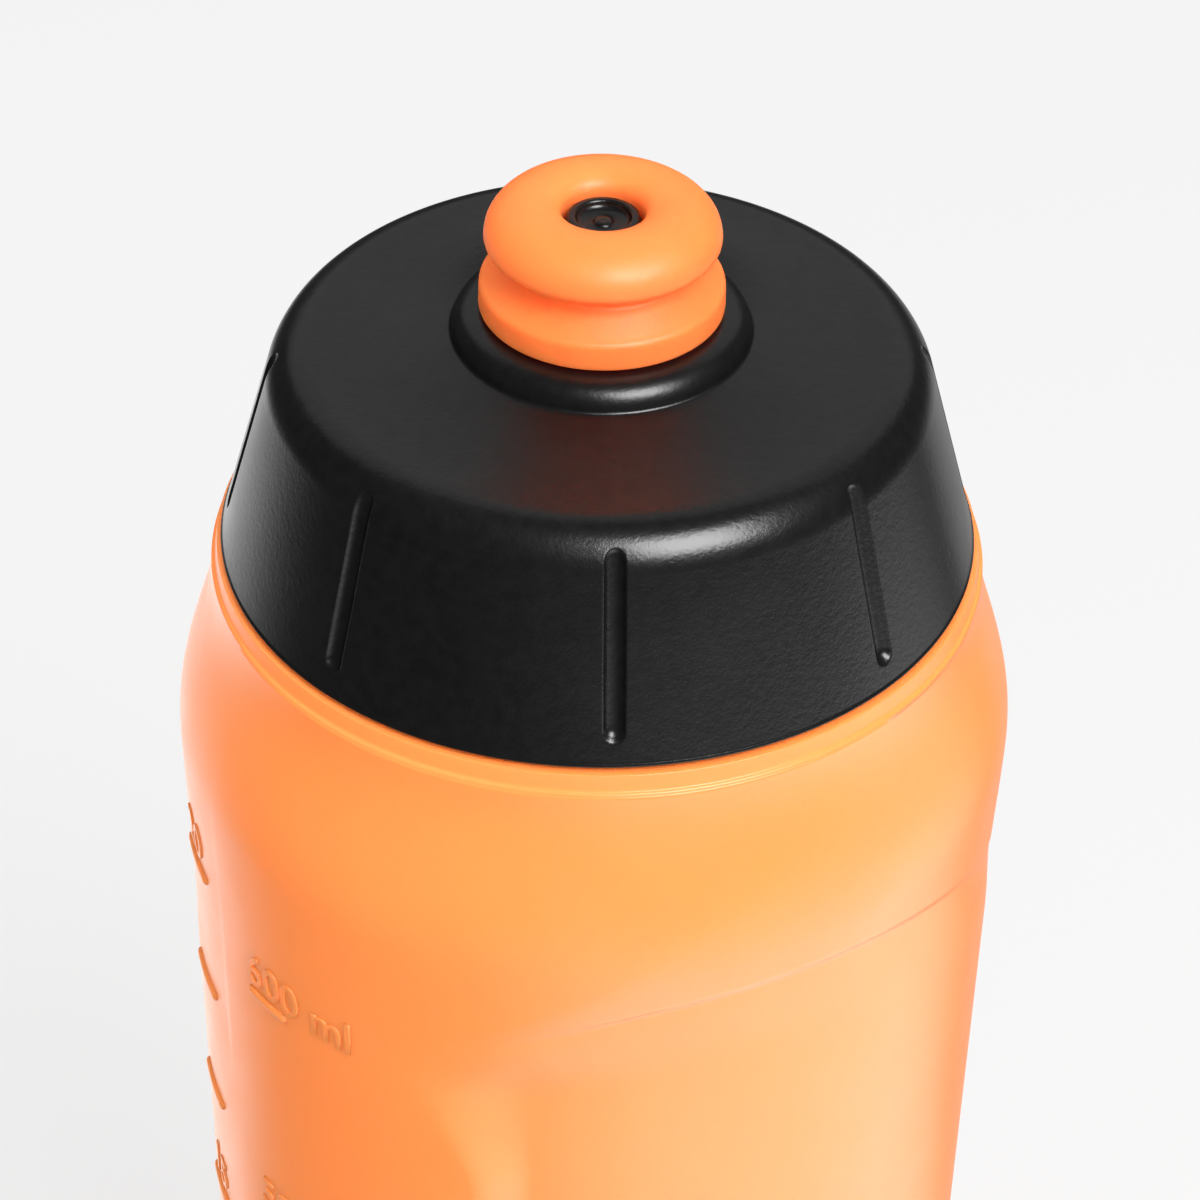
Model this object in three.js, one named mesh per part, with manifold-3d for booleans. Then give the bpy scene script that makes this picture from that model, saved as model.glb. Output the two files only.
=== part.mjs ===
// Sports squeeze bottle: a squeezable body, a screw lid with its flow turret, a neck seal and a
// push-pull spout. Millimetres, +Z up, the base rests on z = 0 and the front faces -Y.
// Azimuths are in degrees from the front (-Y) towards +X.
import * as THREE from 'three';
import { mergeVertices } from 'three/addons/utils/BufferGeometryUtils.js';
import Module from 'manifold-3d';

const { smoothstep, lerp, degToRad, euclideanModulo, clamp } = THREE.MathUtils;
const wasm = await Module();
wasm.setup();

// Driving dimensions.
const BODY_RADIUS = 36.75;
const SHOULDER_BULGE = 0.2; // the shoulder stands out from the round body by this much
const BODY_WALL = 1.2;
const LID_Z = 198; // height of the lid's bottom edge
const GAP = 0.3; // clearance between touching pieces
const BODY_COLUMNS = 60;

// Base.
const BASE_EDGE_RADIUS = 6;
const REST_RING_INNER = 25;
const REST_RING_OUTER = BODY_RADIUS - BASE_EDGE_RADIUS;
const BASE_DOME_RISE = 3.5;
const DOME_EDGE = 3; // width of the dome's steep edge
const DOME_EDGE_DROP = 1;
const DOME_SHARE = 0.5; // the dome is flat over this share of the rest ring's inner radius

// Shoulder and neck.
const SHOULDER_EDGE = 2.1; // the shoulder's top edge, below the lid's bottom edge
const SHOULDER_ROUND = 0.3; // of that edge
const SHOULDER_HEIGHT = 17.7;
const SHOULDER_STEP_IN = 3.7;
const SHOULDER_POWER = 1.15;
const BULGE_HEIGHT = 14; // the bulge grows over this height, under the shoulder
const RIM_RADIUS = 32.7; // of the low wall's top, just outside the lid
const NECK_RADIUS = 26;
const NECK_WALL = 1.3;
const NECK_FOOT = 1;
const NECK_EDGE = 0.4;
const NECK_BORE_EDGE = 0.3;
const NECK_HEIGHT = 14.7; // above the lid's bottom edge
const SHOULDER_TOP = LID_Z - GAP;

// Thread: one start, the same lead on the neck and in the lid.
const THREAD_LEAD = 5;
const THREAD_TURNS = 1.4;
const THREAD_DEPTH = 1.3;
const THREAD_ROOT_HEIGHT = 1.8;
const THREAD_CREST_HEIGHT = 0.8;
const THREAD_START = 2.7; // above the lid's bottom edge
const THREAD_STEPS_PER_TURN = 32;
const LID_THREAD_START = THREAD_START - THREAD_LEAD / 2 + 0.9; // between the turns of the neck's rib
const RIB_ROOT = 0.3; // the ribs reach this far into the wall

// Hand grips: one at the front right and its twin opposite it.
const GRIP_AZIMUTH = 28.5;
const GRIP_TURN = 180;
const CREASE_TOP = LID_Z - 22.2;
const CREASE_SWEEP = 20.8; // drop of the crease for each unit of 1 - cos(angle)
const CREASE_DEPTH = 0.8;
const CREASE_STEP = 0.4; // a small undercut along the crease
const STEP_ABOVE = 0.1; // the undercut runs from here above the crease
const STEP_BELOW = 0.7; // to here below it
const CREASE_RISES = [-50, -18]; // angles from the grip's middle, in degrees
const CREASE_FALLS = [5, 75];
const CREASE_REST = 0.1; // share of its depth that is left after it falls
const FLANK_EDGE = LID_Z - 9.5;
const FLANK_RISE = 0.4; // rise of the flank's upper edge for each degree
const FLANK_LIMIT = LID_Z - 2;
const FLANK_POWER = 1.5;
const PANEL_DEPTH = 1.7;
const PANEL_BLEND = [0.5, 9]; // the panel reaches its depth over these distances under the crease
const PANEL_SLANT = 0.84; // degrees that the panel's left edge moves for each millimetre down
const PANEL_CORNER = { angle: -52.5, z: LID_Z - 34.7 };
const PANEL_LEFT_LIMITS = [-56, -44];
const PANEL_FULL = -36;
const PANEL_FALLS = [-20, 62];
const FINE_RINGS_FROM = LID_Z - 38; // the side's rings lie closer together above this height
const PANEL_BOTTOM = 86; // at the middle of the grip
const PANEL_BOTTOM_FADE = 14;

// Volume scale, raised on the body.
const SCALE_SPACING = 14.4; // 50 ml
const SCALE_TOP = LID_Z - 30;
const SCALE_TICKS = 10;
const TICK_RAISE = 0.35;
const TICK_DEEP = 0.6;
const TICK_HEIGHT = 0.9;
const SIDE_TICK = { azimuth: -72.3, length: 7, drop: 0 };
const FRONT_TICK = { azimuth: -49.5, length: 5.6, drop: 5.3 };

// Lid, with heights above its bottom edge.
const LID_RADIUS = 32.4;
const LID_SLOPE = degToRad(15.8); // of the side, from the vertical
const LID_EDGE = 0.3;
const FILLET_RADIUS = 4.84; // the lower, softer part of the top edge
const FILLET_CENTRE = 23.2;
const CROWN_RADIUS = 3.6; // the upper, tighter part
const CROWN_ANGLE = degToRad(51);
const SKIRT_RELIEF = { inner: 29.2, crown: 29.6, outer: 30.9, height: 4.8 };
const LID_BORE = NECK_RADIUS + THREAD_DEPTH + 0.4;
const LID_THREAD_RADIUS = NECK_RADIUS + 0.4;
const LID_THREAD_TOP = 11.2;
const LID_CEILING = 17.6;
const LID_COLUMNS = 64;
const GROOVE_COUNT = 8;
const GROOVE_AZIMUTH = 3;
const GROOVE_RADIUS = 0.95;
const GROOVE_DEPTH = 0.65;
const GROOVE_FROM = 2.2;
const GROOVE_TO = 18.2;

// Boss and flow turret of the lid. The flare rises from the flat top to the boss.
const FLARE_RADIUS = 23;
const FLARE_RISE = 1.25;
const BOSS_FOOT = 12.5;
const BOSS_SHOULDER = { radius: 12.1, height: 22.25 }; // where the boss's top and side would meet
const BOSS_TOP_RADIUS = 10.2; // the boss is flat inside this, under the spout's flange
const BOSS_RIM = 22.4;
const WELL_RADIUS = 9.2;
const WELL_EDGE = 0.2;
const WELL_FLOOR = 20;
const TURRET_RADIUS = 5.7;
const TURRET_BORE = 4.4;
const TURRET_TOP = 28.3;
const BEAD_RADIUS = 6.1;
const POST_RADIUS = 3.05;
const POST_TOP = 31;
const POST_FOOT = 25.3;
const POST_DISH = 0.5;
const SPOKE_COUNT = 3;
const SPOKE_WIDTH = 1.6;
const SPOKE_HEIGHT = 2;

// Seal ring.
const SEAL_INNER = 23.6;
const SEAL_OUTER = 25.9;

// Spout, with heights above the lid's bottom edge.
const SPOUT_BOTTOM = WELL_FLOOR + GAP;
const SPOUT_BORE = BEAD_RADIUS + GAP;
const SPOUT_LIP = TURRET_RADIUS + 0.35;
const SPOUT_LIP_HEIGHT = 0.8;
const SPOUT_SKIRT = 8.4;
const FLANGE_RADIUS = 10.15;
const FLANGE_BOTTOM = BOSS_RIM + GAP;
const FLANGE_TOP = 24.65;
const WAIST_RADIUS = 7.3;
const WAIST_HEIGHT = 27.05;
const DISC_RADIUS = 9.7;
const DISC_UNDERSIDE = 28.5;
const DISC_CENTRE = 29.3;
const CROWN = { outer: 6.9, middle: 5.6, inner: 4.5 }; // radii across the disc's rounded top
const SPOUT_TOP = 32.65;
const HOLE_RADIUS = 3.4;
const SPOUT_COLUMNS = 40;

// Materials.
const orangeTranslucent = new THREE.MeshStandardMaterial({ color: 0xff9a5a, roughness: 0.38, metalness: 0 });
const blackPlastic = new THREE.MeshStandardMaterial({ color: 0x141416, roughness: 0.45, metalness: 0 });
const orangeSoft = new THREE.MeshStandardMaterial({ color: 0xff8a50, roughness: 0.6, metalness: 0 });
const whiteRubber = new THREE.MeshStandardMaterial({ color: 0xe6e3dc, roughness: 0.7, metalness: 0 });

// ---- geometry helpers -------------------------------------------------------------------------

function indexedGeometry(positions, indices) {
  const geometry = new THREE.BufferGeometry();
  geometry.setAttribute('position', new THREE.BufferAttribute(Float32Array.from(positions), 3));
  geometry.setIndex(new THREE.BufferAttribute(Uint32Array.from(indices), 1));
  return geometry;
}

function toSolid(geometry) {
  const bare = geometry.clone();
  bare.deleteAttribute('normal');
  bare.deleteAttribute('uv');
  const merged = mergeVertices(bare, 1e-4);
  const index = merged.index.array;
  const triVerts = [];
  for (let i = 0; i < index.length; i += 3) {
    const [a, b, c] = [index[i], index[i + 1], index[i + 2]];
    if (a !== b && b !== c && c !== a) triVerts.push(a, b, c);
  }
  return new wasm.Manifold(new wasm.Mesh({
    numProp: 3,
    vertProperties: merged.attributes.position.array,
    triVerts: Uint32Array.from(triVerts),
  }));
}

function toGeometry(solid) {
  const mesh = solid.getMesh();
  const geometry = indexedGeometry(mesh.vertProperties, mesh.triVerts);
  geometry.computeVertexNormals();
  return geometry;
}

// A solid of revolution about Z from a path of (radius, height).
function revolve(path, columns, divisions = 3) {
  return new THREE.LatheGeometry(path.getPoints(divisions), columns).rotateX(Math.PI / 2);
}

// A closed skin through rings of points. Each ring is { z, radius(azimuth) }, and the skin starts
// and ends in a pole on the axis.
function loft(rings, columns) {
  const positions = [0, 0, rings[0].z];
  for (const { z, radius } of rings) {
    for (let column = 0; column < columns; column += 1) {
      const azimuth = (column / columns) * 360;
      const angle = degToRad(azimuth);
      const r = radius(azimuth);
      positions.push(r * Math.sin(angle), -r * Math.cos(angle), z);
    }
  }
  positions.push(0, 0, rings[rings.length - 1].z);
  const lastPole = positions.length / 3 - 1;
  const vertex = (ring, column) => 1 + ring * columns + (column % columns);
  const indices = [];
  for (let column = 0; column < columns; column += 1) {
    indices.push(0, vertex(0, column + 1), vertex(0, column));
    indices.push(lastPole, vertex(rings.length - 1, column), vertex(rings.length - 1, column + 1));
    for (let ring = 0; ring < rings.length - 1; ring += 1) {
      const [a, b] = [vertex(ring, column), vertex(ring, column + 1)];
      const [c, d] = [vertex(ring + 1, column + 1), vertex(ring + 1, column)];
      indices.push(a, b, c, a, c, d);
    }
  }
  return indexedGeometry(positions, indices);
}

// A helical rib between two radii, root and crest, that tapers away at both ends.
function threadRib(root, crest, start) {
  const steps = Math.round(THREAD_TURNS * THREAD_STEPS_PER_TURN);
  const positions = [];
  for (let step = 0; step <= steps; step += 1) {
    const angle = (step / THREAD_STEPS_PER_TURN) * 2 * Math.PI;
    const middle = start + (step / THREAD_STEPS_PER_TURN) * THREAD_LEAD;
    const runOut = Math.min(1, (step + 0.4) / 3, (steps - step + 0.4) / 3);
    const tip = lerp(root, crest, runOut);
    const section = [
      [root, -THREAD_ROOT_HEIGHT / 2],
      [tip, -THREAD_CREST_HEIGHT / 2],
      [tip, THREAD_CREST_HEIGHT / 2],
      [root, THREAD_ROOT_HEIGHT / 2],
    ];
    for (const [radius, height] of section) {
      positions.push(radius * Math.cos(angle), radius * Math.sin(angle), middle + height);
    }
  }
  const indices = [];
  for (let step = 0; step < steps; step += 1) {
    for (let corner = 0; corner < 4; corner += 1) {
      const [a, b] = [step * 4 + corner, step * 4 + ((corner + 1) % 4)];
      indices.push(a, b, b + 4, a, b + 4, a + 4);
    }
  }
  const end = steps * 4;
  indices.push(0, 2, 1, 0, 3, 2, end, end + 1, end + 2, end, end + 2, end + 3);
  if (crest > root) return indexedGeometry(positions, indices.reverse());
  return indexedGeometry(positions, indices);
}

// ---- bottle body ------------------------------------------------------------------------------

// How far the grips lie below the round body at this azimuth and height.
function gripDepth(azimuth, z) {
  const angle = euclideanModulo(azimuth - GRIP_AZIMUTH + GRIP_TURN / 2, GRIP_TURN) - GRIP_TURN / 2;
  const sweep = CREASE_SWEEP * (1 - Math.cos(degToRad(angle)));
  const crease = CREASE_TOP - sweep;
  const along = smoothstep(angle, ...CREASE_RISES) * lerp(1, CREASE_REST, smoothstep(angle, ...CREASE_FALLS));
  const flankEdge = Math.min(FLANK_EDGE + FLANK_RISE * angle, FLANK_LIMIT);
  const rise = clamp((flankEdge - z) / Math.max(flankEdge - crease, 1), 0, 1);
  const undercut = CREASE_STEP * smoothstep(crease - z, -STEP_ABOVE, STEP_BELOW);
  const flank = along * (CREASE_DEPTH * rise ** FLANK_POWER + undercut);

  const slanted = PANEL_CORNER.angle + PANEL_SLANT * (PANEL_CORNER.z - z);
  const leftEdge = clamp(slanted, ...PANEL_LEFT_LIMITS);
  const across = smoothstep(angle, leftEdge, PANEL_FULL) * (1 - smoothstep(angle, ...PANEL_FALLS));
  const bottom = smoothstep(z, PANEL_BOTTOM + sweep, PANEL_BOTTOM + sweep + PANEL_BOTTOM_FADE);
  return lerp(flank, PANEL_DEPTH * across, smoothstep(crease - z, ...PANEL_BLEND)) * bottom;
}

function roundRadius(z) {
  const edge = LID_Z - SHOULDER_EDGE;
  const low = edge - SHOULDER_HEIGHT;
  const bulge = SHOULDER_BULGE * smoothstep(z, low - BULGE_HEIGHT, low);
  return BODY_RADIUS + bulge - SHOULDER_STEP_IN * smoothstep(z, low, edge) ** SHOULDER_POWER;
}

const bodyRadius = (azimuth, z) => roundRadius(z) - gripDepth(azimuth, z);

// Heights of the side rings, close together where the shape changes.
function sideHeights(step) {
  const heights = [BASE_EDGE_RADIUS, 40, 75];
  for (let z = PANEL_BOTTOM; z < FINE_RINGS_FROM - 2; z += 2.4 * step) heights.push(z);
  for (let z = FINE_RINGS_FROM; z < LID_Z - SHOULDER_EDGE - 1; z += step) heights.push(z);
  heights.push(LID_Z - SHOULDER_EDGE);
  return heights;
}

function bodyShell() {
  const plain = (radius, z) => ({ z, radius: () => radius });
  const domeEdge = BASE_DOME_RISE - DOME_EDGE_DROP;
  const rings = [plain(REST_RING_INNER * DOME_SHARE, BASE_DOME_RISE)];
  rings.push(plain(REST_RING_INNER - DOME_EDGE, domeEdge), plain(REST_RING_INNER, 0));
  for (const turn of [0, 30, 60]) {
    const angle = degToRad(turn);
    const radius = REST_RING_OUTER + BASE_EDGE_RADIUS * Math.sin(angle);
    rings.push(plain(radius, BASE_EDGE_RADIUS * (1 - Math.cos(angle))));
  }
  for (const z of sideHeights(2.6)) rings.push({ z, radius: (azimuth) => bodyRadius(azimuth, z) });
  const edgeTop = LID_Z - SHOULDER_EDGE + SHOULDER_ROUND;
  rings.push(plain(roundRadius(LID_Z) - SHOULDER_ROUND, edgeTop), plain(RIM_RADIUS, SHOULDER_TOP));
  rings.push(plain(NECK_RADIUS + NECK_FOOT, SHOULDER_TOP), plain(NECK_RADIUS, SHOULDER_TOP + NECK_FOOT));
  const neckTop = LID_Z + NECK_HEIGHT;
  rings.push(plain(NECK_RADIUS, neckTop - NECK_EDGE), plain(NECK_RADIUS - NECK_EDGE, neckTop));
  const neckBore = NECK_RADIUS - NECK_WALL;
  rings.push(plain(neckBore + NECK_BORE_EDGE, neckTop), plain(neckBore, neckTop - NECK_BORE_EDGE));
  rings.push(plain(neckBore, SHOULDER_TOP - 0.6), plain(neckBore + 0.8, SHOULDER_TOP - BODY_WALL - 0.4));
  for (const z of sideHeights(4).reverse()) {
    if (z > LID_Z - SHOULDER_EDGE - 1) continue;
    rings.push({ z, radius: (azimuth) => bodyRadius(azimuth, z) - BODY_WALL });
  }
  rings.push(plain(REST_RING_OUTER + 2, BODY_WALL + 0.6), plain(REST_RING_OUTER - 1, BODY_WALL));
  rings.push(plain(REST_RING_INNER + 1, BODY_WALL));
  rings.push(plain(REST_RING_INNER - DOME_EDGE, domeEdge + BODY_WALL));
  rings.push(plain(REST_RING_INNER * DOME_SHARE, BASE_DOME_RISE + BODY_WALL));
  return toSolid(loft(rings, BODY_COLUMNS));
}

function scaleTick({ azimuth, length, drop }, line) {
  const z = line - drop;
  const bar = new THREE.BoxGeometry(length, TICK_DEEP + TICK_RAISE, TICK_HEIGHT);
  bar.translate(0, -(bodyRadius(azimuth, z) + (TICK_RAISE - TICK_DEEP) / 2), 0);
  bar.rotateZ(degToRad(azimuth));
  bar.translate(0, 0, z);
  return toSolid(bar);
}

function bottleBody() {
  let body = bodyShell();
  const rib = threadRib(NECK_RADIUS - RIB_ROOT, NECK_RADIUS + THREAD_DEPTH, LID_Z + THREAD_START);
  body = body.add(toSolid(rib));
  for (let tick = 0; tick < SCALE_TICKS; tick += 1) {
    const line = SCALE_TOP - tick * SCALE_SPACING;
    body = body.add(scaleTick(SIDE_TICK, line));
    if (tick % 2 === 0) body = body.add(scaleTick(FRONT_TICK, line));
  }
  return toGeometry(body);
}

// ---- lid --------------------------------------------------------------------------------------

const lidOuter = (height) => LID_RADIUS - height * Math.tan(LID_SLOPE);

// The top edge: a fillet tangent to the sloping side, then a tighter crown up to the flat top.
function topEdge() {
  const reach = LID_RADIUS - FILLET_CENTRE - FILLET_RADIUS * Math.cos(LID_SLOPE);
  const z = reach / Math.tan(LID_SLOPE) - FILLET_RADIUS * Math.sin(LID_SLOPE);
  const fillet = new THREE.Vector2(FILLET_CENTRE, z);
  const between = FILLET_RADIUS - CROWN_RADIUS;
  const offset = new THREE.Vector2(Math.cos(CROWN_ANGLE), Math.sin(CROWN_ANGLE)).multiplyScalar(between);
  return { fillet, crown: fillet.clone().add(offset) };
}

// The lid's section as one closed loop, from the inner foot of the skirt outwards and over the top.
function lidSection() {
  const { fillet, crown } = topEdge();
  const top = crown.y + CROWN_RADIUS;
  const sideTop = fillet.y + FILLET_RADIUS * Math.sin(LID_SLOPE);
  const section = new THREE.Path();
  section.moveTo(LID_BORE, 0);
  section.lineTo(SKIRT_RELIEF.inner, 0);
  section.lineTo(SKIRT_RELIEF.inner, SKIRT_RELIEF.height);
  section.lineTo(SKIRT_RELIEF.crown, SKIRT_RELIEF.height);
  section.lineTo(SKIRT_RELIEF.outer, 0);
  section.lineTo(LID_RADIUS - LID_EDGE, 0);
  section.lineTo(lidOuter(LID_EDGE), LID_EDGE);
  section.lineTo(lidOuter(sideTop), sideTop);
  section.absarc(fillet.x, fillet.y, FILLET_RADIUS, LID_SLOPE, CROWN_ANGLE, false);
  section.absarc(crown.x, crown.y, CROWN_RADIUS, CROWN_ANGLE, Math.PI / 2, false);
  section.lineTo(FLARE_RADIUS, top);
  section.quadraticCurveTo((FLARE_RADIUS + BOSS_FOOT) / 2, top, BOSS_FOOT, top + FLARE_RISE);
  section.quadraticCurveTo(BOSS_SHOULDER.radius, BOSS_SHOULDER.height, BOSS_TOP_RADIUS, BOSS_RIM);
  section.lineTo(WELL_RADIUS + WELL_EDGE, BOSS_RIM);
  section.lineTo(WELL_RADIUS, BOSS_RIM - WELL_EDGE);
  section.lineTo(WELL_RADIUS, WELL_FLOOR);
  section.lineTo(TURRET_RADIUS, WELL_FLOOR);
  section.lineTo(TURRET_RADIUS, TURRET_TOP - 1.2);
  section.lineTo(BEAD_RADIUS, TURRET_TOP - 0.9);
  section.lineTo(BEAD_RADIUS, TURRET_TOP - 0.6);
  section.lineTo(TURRET_RADIUS - 0.2, TURRET_TOP);
  section.lineTo(TURRET_BORE, TURRET_TOP);
  section.lineTo(TURRET_BORE, LID_CEILING);
  section.lineTo(SEAL_OUTER - 0.6, LID_CEILING);
  section.lineTo(SEAL_OUTER + GAP, LID_CEILING - 0.8);
  section.lineTo(NECK_RADIUS + 0.4, LID_CEILING - 2);
  section.lineTo(LID_BORE, LID_THREAD_TOP);
  section.lineTo(LID_BORE, 0);
  return section;
}

function flowPost() {
  const section = new THREE.Path();
  section.moveTo(0, POST_FOOT);
  section.lineTo(POST_RADIUS, POST_FOOT);
  section.lineTo(POST_RADIUS, POST_TOP - 0.4);
  section.lineTo(POST_RADIUS - 0.4, POST_TOP);
  section.lineTo(POST_RADIUS - 0.8, POST_TOP);
  section.lineTo(POST_RADIUS - 1.2, POST_TOP - POST_DISH);
  section.lineTo(0, POST_TOP - POST_DISH);
  return toSolid(revolve(section, SPOUT_COLUMNS));
}

// A web from the post to the turret's wall, between two flow windows.
function flowSpoke(turn) {
  const length = TURRET_BORE + 0.8;
  const spoke = new THREE.BoxGeometry(SPOKE_WIDTH, length, SPOKE_HEIGHT);
  spoke.translate(0, -length / 2, POST_FOOT + SPOKE_HEIGHT / 2);
  spoke.rotateZ(turn);
  return toSolid(spoke);
}

// The cutter of one finger groove, laid along the sloping side.
function gripGroove(turn) {
  const length = (GROOVE_TO - GROOVE_FROM) / Math.cos(LID_SLOPE) - 2 * GROOVE_RADIUS;
  const middle = (GROOVE_FROM + GROOVE_TO) / 2;
  const cutter = new THREE.CapsuleGeometry(GROOVE_RADIUS, length, 3, 10);
  cutter.rotateX(Math.PI / 2 - LID_SLOPE);
  const out = (GROOVE_RADIUS - GROOVE_DEPTH) / Math.cos(LID_SLOPE);
  cutter.translate(0, -(lidOuter(middle) + out), middle);
  cutter.rotateZ(turn);
  return toSolid(cutter);
}

function lid() {
  let body = toSolid(revolve(lidSection(), LID_COLUMNS));
  body = body.add(flowPost());
  for (let spoke = 0; spoke < SPOKE_COUNT; spoke += 1) {
    body = body.add(flowSpoke((spoke / SPOKE_COUNT) * 2 * Math.PI));
  }
  for (let groove = 0; groove < GROOVE_COUNT; groove += 1) {
    const azimuth = GROOVE_AZIMUTH + (groove / GROOVE_COUNT) * 360;
    body = body.subtract(gripGroove(degToRad(azimuth)));
  }
  const rib = threadRib(LID_BORE + RIB_ROOT, LID_THREAD_RADIUS, LID_THREAD_START);
  body = body.add(toSolid(rib));
  return toGeometry(body);
}

// ---- seal ring and spout ----------------------------------------------------------------------

function sealRing() {
  const bottom = NECK_HEIGHT + GAP;
  const top = LID_CEILING - GAP;
  const section = new THREE.Path();
  section.moveTo(SEAL_INNER, bottom);
  section.lineTo(SEAL_OUTER - 0.2, bottom);
  section.lineTo(SEAL_OUTER - 0.2, top - 1);
  section.lineTo(SEAL_OUTER - 0.8, top);
  section.lineTo(SEAL_INNER, top);
  section.lineTo(SEAL_INNER, bottom);
  return toGeometry(toSolid(revolve(section, SPOUT_COLUMNS)));
}

function spoutSection() {
  const section = new THREE.Path();
  section.moveTo(SPOUT_LIP, SPOUT_BOTTOM);
  section.lineTo(SPOUT_SKIRT, SPOUT_BOTTOM);
  section.lineTo(SPOUT_SKIRT, FLANGE_BOTTOM);
  section.lineTo(FLANGE_RADIUS - 0.25, FLANGE_BOTTOM);
  section.quadraticCurveTo(FLANGE_RADIUS, FLANGE_BOTTOM, FLANGE_RADIUS, FLANGE_BOTTOM + 0.3);
  section.lineTo(FLANGE_RADIUS - 0.05, FLANGE_TOP);
  section.quadraticCurveTo(FLANGE_RADIUS - 0.2, FLANGE_TOP + 0.6, WAIST_RADIUS + 0.4, WAIST_HEIGHT - 0.3);
  section.quadraticCurveTo(WAIST_RADIUS, WAIST_HEIGHT, WAIST_RADIUS + 0.4, WAIST_HEIGHT + 0.35);
  section.lineTo(DISC_RADIUS - 0.5, DISC_UNDERSIDE);
  section.quadraticCurveTo(DISC_RADIUS, DISC_UNDERSIDE + 0.3, DISC_RADIUS, DISC_CENTRE);
  section.quadraticCurveTo(DISC_RADIUS - 0.2, SPOUT_TOP - 1, CROWN.outer, SPOUT_TOP - 0.2);
  section.quadraticCurveTo(CROWN.middle, SPOUT_TOP + 0.1, CROWN.inner, SPOUT_TOP - 0.3);
  section.quadraticCurveTo(HOLE_RADIUS, SPOUT_TOP - 0.7, HOLE_RADIUS, SPOUT_TOP - 1.6);
  section.lineTo(HOLE_RADIUS, TURRET_TOP + 1.2);
  section.lineTo(SPOUT_BORE - 1.6, TURRET_TOP + 0.8);
  section.lineTo(SPOUT_BORE, TURRET_TOP - 0.1);
  section.lineTo(SPOUT_BORE, SPOUT_BOTTOM + SPOUT_LIP_HEIGHT + 0.4);
  section.lineTo(SPOUT_LIP, SPOUT_BOTTOM + SPOUT_LIP_HEIGHT);
  section.lineTo(SPOUT_LIP, SPOUT_BOTTOM);
  return section;
}

function spout() {
  return toGeometry(toSolid(revolve(spoutSection(), SPOUT_COLUMNS)));
}

// ---- assembly ---------------------------------------------------------------------------------

function piece(name, geometry, material) {
  const mesh = new THREE.Mesh(geometry, material);
  mesh.name = name;
  return mesh;
}

const bottle = new THREE.Group();
bottle.add(piece('bottle_body', bottleBody(), orangeTranslucent));

const closure = new THREE.Group();
closure.position.z = LID_Z;
closure.add(piece('lid', lid(), blackPlastic));
closure.add(piece('seal_ring', sealRing(), whiteRubber));
closure.add(piece('spout', spout(), orangeSoft));
bottle.add(closure);

export default bottle;
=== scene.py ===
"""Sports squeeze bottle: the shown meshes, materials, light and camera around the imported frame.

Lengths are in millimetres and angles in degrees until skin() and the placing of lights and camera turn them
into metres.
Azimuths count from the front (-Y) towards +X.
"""

import math

import bpy
import numpy as np
from mathutils import Euler, Matrix, Vector


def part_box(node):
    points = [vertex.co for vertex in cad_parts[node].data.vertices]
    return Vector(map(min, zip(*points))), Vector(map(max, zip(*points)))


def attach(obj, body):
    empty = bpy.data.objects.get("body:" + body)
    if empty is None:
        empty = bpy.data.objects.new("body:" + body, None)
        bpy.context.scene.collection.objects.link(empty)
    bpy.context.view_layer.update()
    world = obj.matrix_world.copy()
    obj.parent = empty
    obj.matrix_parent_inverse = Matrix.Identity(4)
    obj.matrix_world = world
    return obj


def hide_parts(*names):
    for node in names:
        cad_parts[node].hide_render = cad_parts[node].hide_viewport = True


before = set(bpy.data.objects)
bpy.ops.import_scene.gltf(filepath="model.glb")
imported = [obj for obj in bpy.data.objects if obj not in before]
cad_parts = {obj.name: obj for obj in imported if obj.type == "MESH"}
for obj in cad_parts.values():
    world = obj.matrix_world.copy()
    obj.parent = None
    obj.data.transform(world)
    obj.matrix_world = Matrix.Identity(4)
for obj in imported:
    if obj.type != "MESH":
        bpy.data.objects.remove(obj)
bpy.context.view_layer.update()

MM = 0.001


def box_mm(node):
    low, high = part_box(node)
    return [v / MM for v in low], [v / MM for v in high]


# ---- driving dimensions, from the frame ----------------------------------------------------------
# The lid's, the turret's and the spout's heights are above the lid's bottom edge, LID_Z.

body_low, body_high = box_mm("bottle_body")
lid_low, lid_high = box_mm("lid")
spout_low, spout_high = box_mm("spout")
seal_low, seal_high = box_mm("seal_ring")

SHOULDER_BULGE = 0.2
BODY_RADIUS = (body_high[1] - body_low[1]) / 2 - SHOULDER_BULGE
BODY_WALL = 1.2
NECK_TOP = body_high[2]
LID_Z = lid_low[2]
LID_RADIUS = (lid_high[0] - lid_low[0]) / 2
POST_TOP = lid_high[2] - LID_Z
SPOUT_RADIUS = (spout_high[0] - spout_low[0]) / 2
SPOUT_BOTTOM = spout_low[2] - LID_Z
SPOUT_TOP = spout_high[2] - LID_Z
SEAL_OUTER = (seal_high[0] - seal_low[0]) / 2
SEAL_BOTTOM, SEAL_TOP = seal_low[2] - LID_Z, seal_high[2] - LID_Z

BASE_EDGE_RADIUS = 6.0
REST_RING_INNER = 25.0
REST_RING_OUTER = BODY_RADIUS - BASE_EDGE_RADIUS
BASE_DOME_RISE = 3.5

GAP = 0.3
SHOULDER_TOP = LID_Z - GAP
SHOULDER_EDGE = LID_Z - 2.1  # the shoulder's top edge, with a low wall above it up to the lid
SHOULDER_HEIGHT = 17.7
SHOULDER_STEP_IN = 3.7
SHOULDER_POWER = 1.15
SHOULDER_ROUND = 0.3
BULGE_HEIGHT = 14.0
RIM_RADIUS = 32.7  # of that low wall's top
NECK_RADIUS = 26.0
NECK_BORE = 24.7

THREAD_LEAD = 5.0
THREAD_TURNS = 1.4
THREAD_DEPTH = 1.3
THREAD_START = 2.7
LID_THREAD_START = THREAD_START - THREAD_LEAD / 2 + 0.9

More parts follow.
